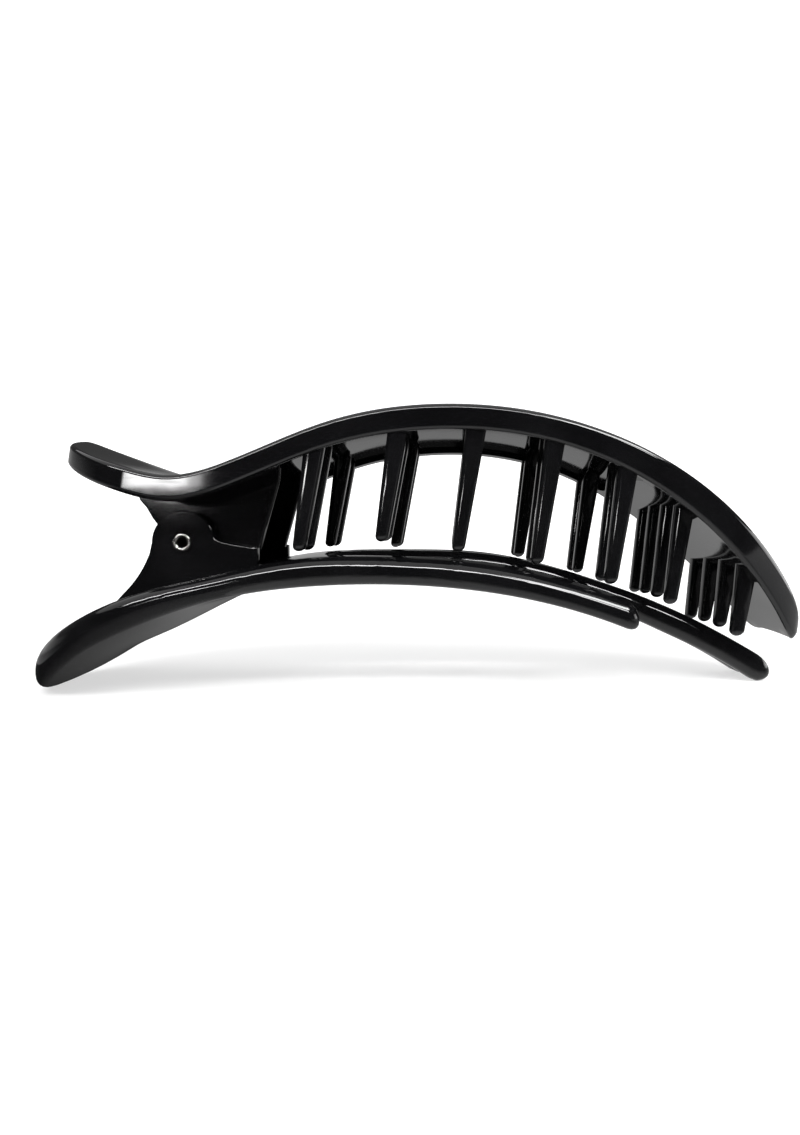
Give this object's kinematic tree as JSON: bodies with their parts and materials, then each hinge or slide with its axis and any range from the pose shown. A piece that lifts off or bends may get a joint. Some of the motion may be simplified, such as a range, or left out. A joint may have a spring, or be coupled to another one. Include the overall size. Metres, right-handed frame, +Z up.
{
  "type": "sectioning clip",
  "caption": "Flat sectioning clip: a toothed upper jaw and a pronged lower jaw on a hollow hinge pin, held closed by a torsion spring.",
  "frame": {"origin": "centre of the closed clip's footprint, on the surface that it stands on", "axes": "+X from the handles to the beak, +Z up from the lower jaw to the upper jaw, Y along the hinge pin"},
  "size_m": [0.1252, 0.038, 0.045],
  "materials": {
    "black_plastic": "polished black",
    "pin_steel": "bright plated",
    "spring_steel": "drawn wire"
  },
  "bodies": {
    "lower_half": {"lower_jaw": "black_plastic", "hinge_pin": "pin_steel", "torsion_spring": "spring_steel"},
    "upper_half": {"upper_jaw": "black_plastic"}
  },
  "joints": [
    {"name": "jaw_hinge", "type": "hinge", "parent": "lower_half", "child": "upper_half", "pos_m": [-0.0366, 0, 0.0237], "axis": [0, -1, 0], "range_deg": [0, 66], "stiffness_Nm_per_rad": 0.1, "springref_deg": -34.38, "deforming": ["torsion_spring"]}
  ]
}
